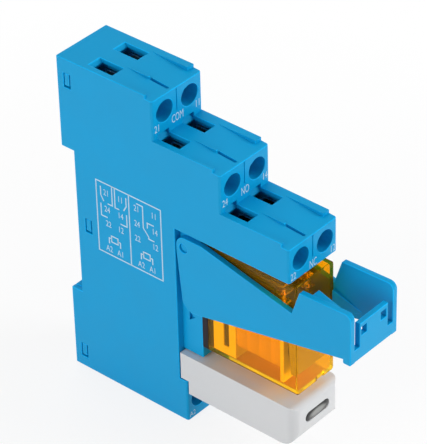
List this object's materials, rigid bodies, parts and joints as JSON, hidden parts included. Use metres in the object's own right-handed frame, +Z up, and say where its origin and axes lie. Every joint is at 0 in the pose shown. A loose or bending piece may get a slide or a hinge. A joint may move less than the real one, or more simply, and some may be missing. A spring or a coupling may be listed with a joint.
{
  "type": "interface relay",
  "caption": "Slim stepped screw socket for a 35 mm rail with a plug-in amber relay, a swinging retaining clip and a plug-in indicator module.",
  "frame": {"origin": "middle of the width, on the front face of the rail, half way up the rail", "axes": "+X along the rail, +Y towards the rail's wall, so the front looks to -Y, +Z up"},
  "size_m": [0.0158, 0.0801, 0.0825],
  "materials": {
    "socket_plastic": "satin moulded",
    "clip_plastic": "satin moulded",
    "latch_plastic": "satin moulded",
    "terminal_steel": "zinc plated",
    "contact_brass": "bright",
    "amber_cover": "clear amber",
    "relay_black": "satin moulded",
    "bobbin_yellow": "moulded",
    "winding_orange": "taped wire",
    "relay_iron": "plated",
    "card_plastic": "moulded",
    "module_plastic": "satin moulded",
    "board_green": "lacquered",
    "lamp_green": "clear",
    "diode_black": "moulded",
    "window_smoke": "smoked"
  },
  "bodies": {
    "socket": {"socket_body": "socket_plastic", "rear_cover": "socket_plastic", "relay_base": "relay_black", "relay_cover": "amber_cover", "coil_bobbin": "bobbin_yellow", "coil_winding": "winding_orange", "coil_core": "relay_iron", "yoke": "relay_iron", "module_housing": "module_plastic", "module_plug": "module_plastic", "module_board": "board_green", "module_led": "lamp_green", "module_diode": "diode_black", "module_window": "window_smoke", "strip_21": "contact_brass", "strip_11": "contact_brass", "strip_24": "contact_brass", "strip_14": "contact_brass", "strip_22": "contact_brass", "strip_12": "contact_brass", "strip_a2": "contact_brass", "strip_a1": "contact_brass", "common_terminal_1": "contact_brass", "closed_terminal_1": "contact_brass", "open_terminal_1": "contact_brass", "coil_pin_1": "contact_brass", "module_blade_1": "contact_brass", "common_terminal_2": "contact_brass", "closed_terminal_2": "contact_brass", "open_terminal_2": "contact_brass", "coil_pin_2": "contact_brass", "module_blade_2": "contact_brass"},
    "latch": {"rail_latch": "latch_plastic"},
    "clip": {"retaining_clip": "clip_plastic"},
    "screw_21": {"screw_21": "terminal_steel"},
    "cage_21": {"cage_21": "terminal_steel"},
    "screw_11": {"screw_11": "terminal_steel"},
    "cage_11": {"cage_11": "terminal_steel"},
    "screw_24": {"screw_24": "terminal_steel"},
    "cage_24": {"cage_24": "terminal_steel"},
    "screw_14": {"screw_14": "terminal_steel"},
    "cage_14": {"cage_14": "terminal_steel"},
    "screw_22": {"screw_22": "terminal_steel"},
    "cage_22": {"cage_22": "terminal_steel"},
    "screw_12": {"screw_12": "terminal_steel"},
    "cage_12": {"cage_12": "terminal_steel"},
    "screw_a2": {"screw_a2": "terminal_steel"},
    "cage_a2": {"cage_a2": "terminal_steel"},
    "screw_a1": {"screw_a1": "terminal_steel"},
    "cage_a1": {"cage_a1": "terminal_steel"},
    "armature": {"armature": "terminal_steel"},
    "card": {"actuator_card": "card_plastic"},
    "spring_1": {"moving_spring_1": "contact_brass"},
    "spring_2": {"moving_spring_2": "contact_brass"}
  },
  "joints": [
    {"name": "clip_swing", "type": "hinge", "parent": "socket", "child": "clip", "pos_m": [0, -0.0309, 0.0057], "axis": [-1, 0, 0], "range_deg": [0, 12]},
    {"name": "latch_slide", "type": "slide", "parent": "socket", "child": "latch", "axis": [0, 0, -1], "range_m": [0, 0.0025], "stiffness_N_per_m": 800, "springref_m": -0.002},
    {"name": "armature_hinge", "type": "hinge", "parent": "socket", "child": "armature", "pos_m": [0, -0.057, -0.0032], "axis": [1, 0, 0], "range_deg": [0, 4.2], "stiffness_Nm_per_rad": 0.005, "springref_deg": -22.92},
    {"name": "card_slide", "type": "slide", "parent": "socket", "child": "card", "axis": [0, 0, 1], "range_m": [0, 0.00052]},
    {"name": "spring_1_flex", "type": "hinge", "parent": "socket", "child": "spring_1", "pos_m": [0.00365, -0.0382, 0.00352], "axis": [-1, 0, 0], "range_deg": [0, 2.6]},
    {"name": "spring_2_flex", "type": "hinge", "parent": "socket", "child": "spring_2", "pos_m": [-0.00365, -0.0382, 0.00352], "axis": [-1, 0, 0], "range_deg": [0, 2.6]},
    {"name": "screw_21_turn", "type": "hinge", "parent": "socket", "child": "screw_21", "pos_m": [-0.00395, -0.0198, 0.0359], "axis": [0, 1, 0], "range_deg": [0, 2304]},
    {"name": "cage_21_slide", "type": "slide", "parent": "socket", "child": "cage_21", "axis": [0, -1, 0], "range_m": [0, 0.0032]},
    {"name": "screw_11_turn", "type": "hinge", "parent": "socket", "child": "screw_11", "pos_m": [0.00395, -0.0198, 0.0359], "axis": [0, 1, 0], "range_deg": [0, 2304]},
    {"name": "cage_11_slide", "type": "slide", "parent": "socket", "child": "cage_11", "axis": [0, -1, 0], "range_m": [0, 0.0032]},
    {"name": "screw_24_turn", "type": "hinge", "parent": "socket", "child": "screw_24", "pos_m": [-0.00395, -0.0382, 0.0251], "axis": [0, 1, 0], "range_deg": [0, 2304]},
    {"name": "cage_24_slide", "type": "slide", "parent": "socket", "child": "cage_24", "axis": [0, -1, 0], "range_m": [0, 0.0032]},
    {"name": "screw_14_turn", "type": "hinge", "parent": "socket", "child": "screw_14", "pos_m": [0.00395, -0.0382, 0.0251], "axis": [0, 1, 0], "range_deg": [0, 2304]},
    {"name": "cage_14_slide", "type": "slide", "parent": "socket", "child": "cage_14", "axis": [0, -1, 0], "range_m": [0, 0.0032]},
    {"name": "screw_22_turn", "type": "hinge", "parent": "socket", "child": "screw_22", "pos_m": [-0.00395, -0.0565, 0.0146], "axis": [0, 1, 0], "range_deg": [0, 2304]},
    {"name": "cage_22_slide", "type": "slide", "parent": "socket", "child": "cage_22", "axis": [0, -1, 0], "range_m": [0, 0.0032]},
    {"name": "screw_12_turn", "type": "hinge", "parent": "socket", "child": "screw_12", "pos_m": [0.00395, -0.0565, 0.0146], "axis": [0, 1, 0], "range_deg": [0, 2304]},
    {"name": "cage_12_slide", "type": "slide", "parent": "socket", "child": "cage_12", "axis": [0, -1, 0], "range_m": [0, 0.0032]},
    {"name": "screw_a2_turn", "type": "hinge", "parent": "socket", "child": "screw_a2", "pos_m": [-0.00395, -0.0271, -0.0366], "axis": [0, 1, 0], "range_deg": [0, 2304]},
    {"name": "cage_a2_slide", "type": "slide", "parent": "socket", "child": "cage_a2", "axis": [0, -1, 0], "range_m": [0, 0.0032]},
    {"name": "screw_a1_turn", "type": "hinge", "parent": "socket", "child": "screw_a1", "pos_m": [0.00395, -0.0271, -0.0366], "axis": [0, 1, 0], "range_deg": [0, 2304]},
    {"name": "cage_a1_slide", "type": "slide", "parent": "socket", "child": "cage_a1", "axis": [0, -1, 0], "range_m": [0, 0.0032]}
  ],
  "couplings": [
    {"joint": "card_slide", "follows": "armature_hinge", "m_per_rad": 0.007},
    {"joint": "spring_1_flex", "follows": "armature_hinge", "ratio": 0.5932},
    {"joint": "spring_2_flex", "follows": "armature_hinge", "ratio": 0.5932},
    {"joint": "screw_21_turn", "follows": "cage_21_slide", "rad_per_m": 12566},
    {"joint": "screw_11_turn", "follows": "cage_11_slide", "rad_per_m": 12566},
    {"joint": "screw_24_turn", "follows": "cage_24_slide", "rad_per_m": 12566},
    {"joint": "screw_14_turn", "follows": "cage_14_slide", "rad_per_m": 12566},
    {"joint": "screw_22_turn", "follows": "cage_22_slide", "rad_per_m": 12566},
    {"joint": "screw_12_turn", "follows": "cage_12_slide", "rad_per_m": 12566},
    {"joint": "screw_a2_turn", "follows": "cage_a2_slide", "rad_per_m": 12566},
    {"joint": "screw_a1_turn", "follows": "cage_a1_slide", "rad_per_m": 12566}
  ]
}
